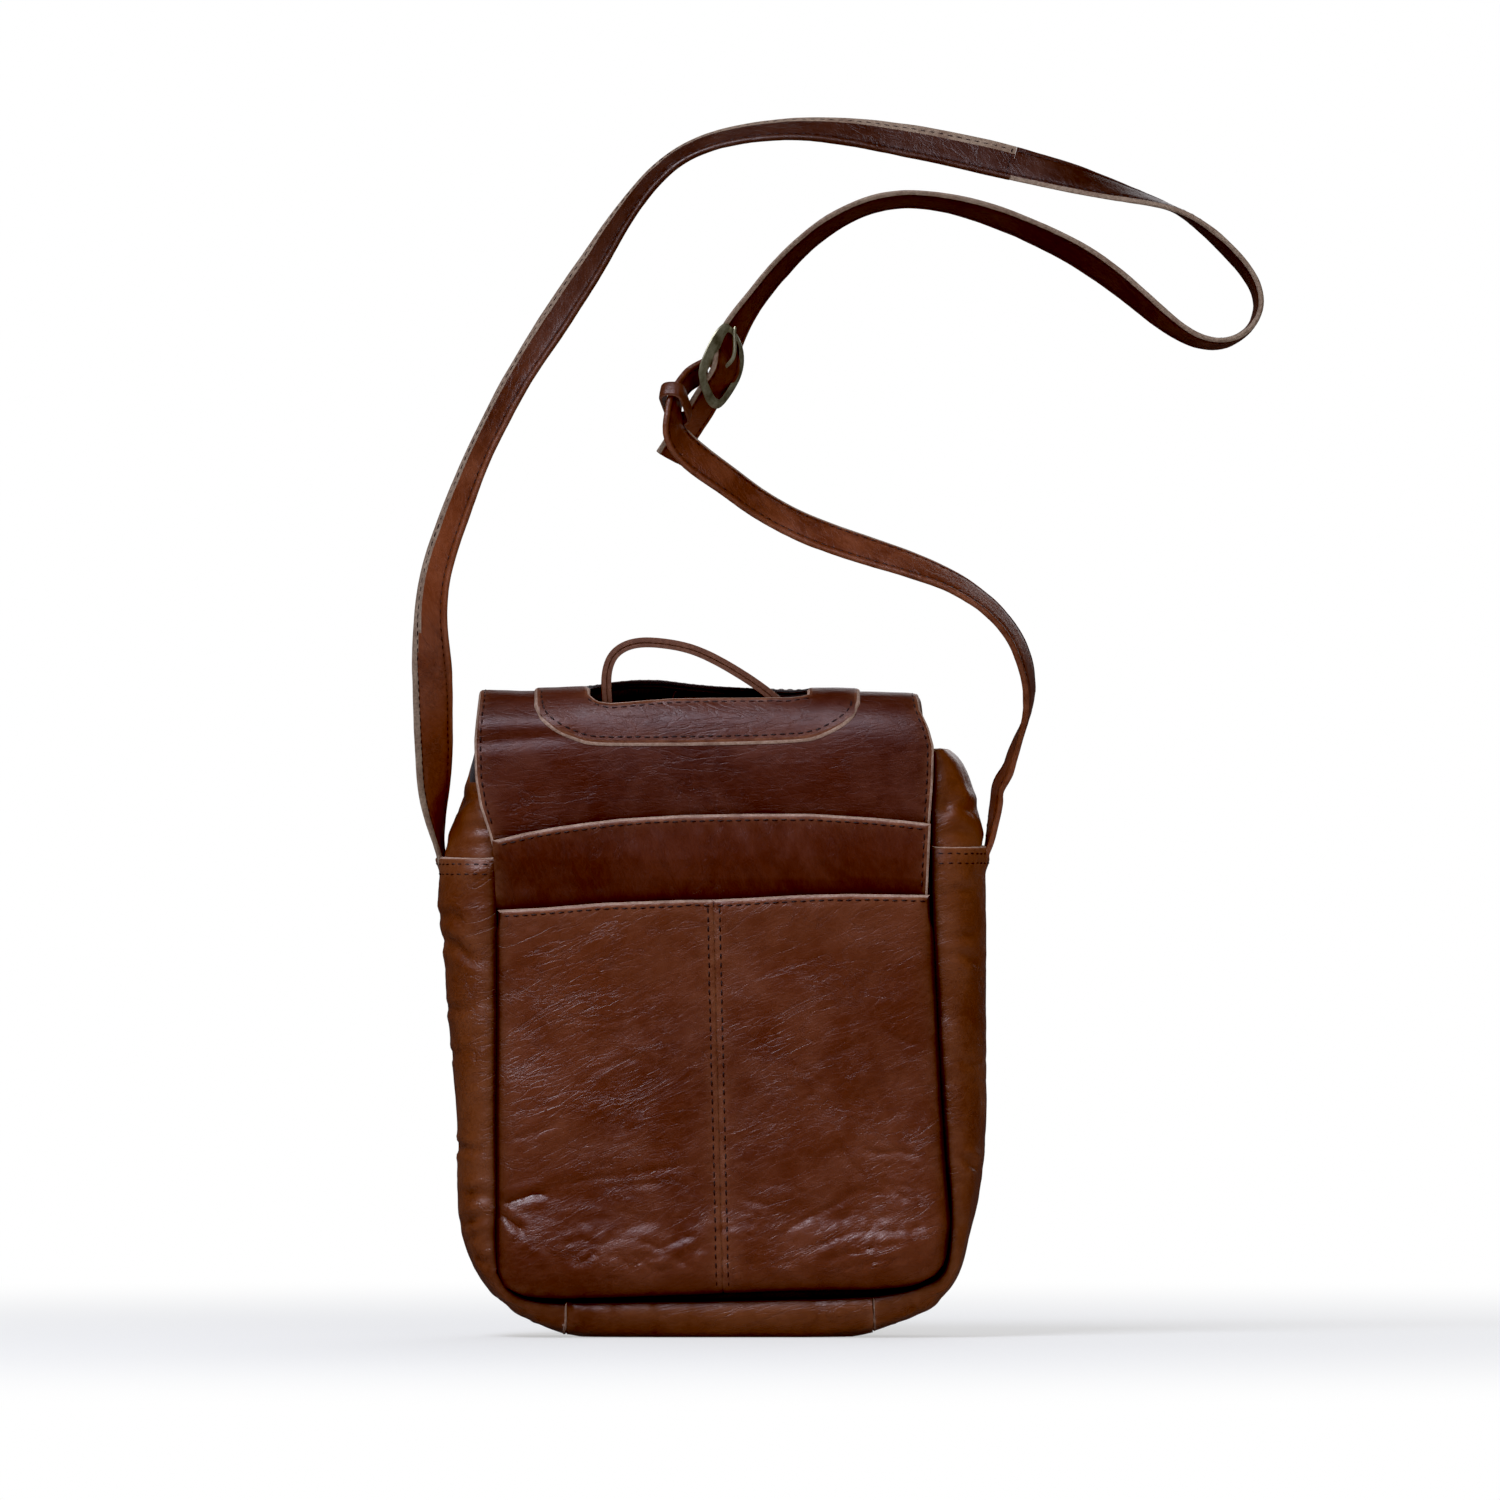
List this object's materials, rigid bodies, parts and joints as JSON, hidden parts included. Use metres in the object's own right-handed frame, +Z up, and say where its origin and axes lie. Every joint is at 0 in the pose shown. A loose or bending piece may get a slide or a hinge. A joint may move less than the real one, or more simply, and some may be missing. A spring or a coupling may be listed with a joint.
{
  "type": "crossbody purse",
  "caption": "Leather flap crossbody purse with back slip pocket, grab handle through a slot in the flap, zip mouth and an adjustable buckled shoulder strap.",
  "frame": {"origin": "on the resting plane below the middle of the bag", "axes": "+Z up, -Y towards the back with the slip pocket, +Y towards the front under the flap, X from side to side"},
  "size_m": [0.364, 0.1217, 0.5143],
  "materials": {
    "body_leather": "saddle brown pull-up leather with fine creases, satin",
    "flap_leather": "saddle brown pull-up leather, slightly redder, satin",
    "gusset_leather": "saddle brown leather, slightly more orange, worn",
    "strap_leather": "dark saddle brown folded leather with pale raw edges",
    "black_lining": "black woven lining",
    "antique_brass": "olive antique brass"
  },
  "bodies": {
    "bag": {"gusset_left_lower": "gusset_leather", "gusset_right_lower": "gusset_leather", "gusset_bottom": "gusset_leather", "gusset_left_upper": "gusset_leather", "gusset_right_upper": "gusset_leather", "back_panel": "body_leather", "front_panel": "body_leather", "lining_back": "black_lining", "lining_front": "black_lining", "lining_gusset": "black_lining", "back_band": "body_leather", "back_pocket_left": "body_leather", "back_pocket_right": "body_leather", "front_pocket": "body_leather", "flap_rear": "flap_leather", "slot_patch_rear": "flap_leather", "snap_base": "antique_brass", "snap_base_washer": "antique_brass", "zip_tape_rear": "black_lining", "zip_tape_front": "black_lining", "zip_teeth_rear": "antique_brass", "zip_teeth_front": "antique_brass", "zip_end_stops": "antique_brass"},
    "flap_over_mouth": {"flap_top": "flap_leather", "flap_lining_top": "black_lining", "slot_patch_top": "flap_leather"},
    "flap_drop": {"flap_front": "flap_leather", "flap_lining_front": "black_lining", "snap_stud": "antique_brass"},
    "grab_handle": {"handle_outer_ply": "flap_leather", "handle_inner_ply": "flap_leather"},
    "slider": {"zip_slider": "antique_brass"},
    "pull_tab": {"zip_pull": "antique_brass"},
    "shoulder_strap": {"strap_long": "strap_leather", "strap_adjusting_end": "strap_leather", "strap_short": "strap_leather", "strap_short_fold": "strap_leather", "buckle_frame": "antique_brass"},
    "prong": {"buckle_prong": "antique_brass"},
    "keeper": {"strap_keeper": "strap_leather"}
  },
  "joints": [
    {"name": "flap_rear_fold", "type": "hinge", "parent": "bag", "child": "flap_over_mouth", "pos_m": [0, -0.0192, 0.27], "axis": [1, 0, 0], "range_deg": [0, 90]},
    {"name": "flap_front_fold", "type": "hinge", "parent": "flap_over_mouth", "child": "flap_drop", "pos_m": [0, 0.03163, 0.26255], "axis": [1, 0, 0], "range_deg": [0, 90]},
    {"name": "grab_handle_swing", "type": "hinge", "parent": "flap_over_mouth", "child": "grab_handle", "pos_m": [0, -0.0107, 0.2725], "axis": [1, 0, 0], "range_deg": [-22, 20]},
    {"name": "strap_swing", "type": "hinge", "parent": "bag", "child": "shoulder_strap", "pos_m": [0, 0, 0.208], "axis": [1, 0, 0], "range_deg": [-45, 45]},
    {"name": "buckle_prong_swing", "type": "hinge", "parent": "shoulder_strap", "child": "prong", "pos_m": [0.00442, -0.06277, 0.40876], "axis": [0.5959, 0.7661, -0.241], "range_deg": [0, 35]},
    {"name": "strap_keeper_slide", "type": "slide", "parent": "shoulder_strap", "child": "keeper", "axis": [-0.1937, -0.5651, -0.802], "range_m": [-0.0005, 0.0013]},
    {"name": "zip_slide", "type": "slide", "parent": "bag", "child": "slider", "axis": [-1, 0, 0], "range_m": [0, 0.149]},
    {"name": "zip_pull_swing", "type": "hinge", "parent": "slider", "child": "pull_tab", "pos_m": [0.075, 0, 0.25285], "axis": [0, 1, 0], "range_deg": [0, 150]}
  ]
}
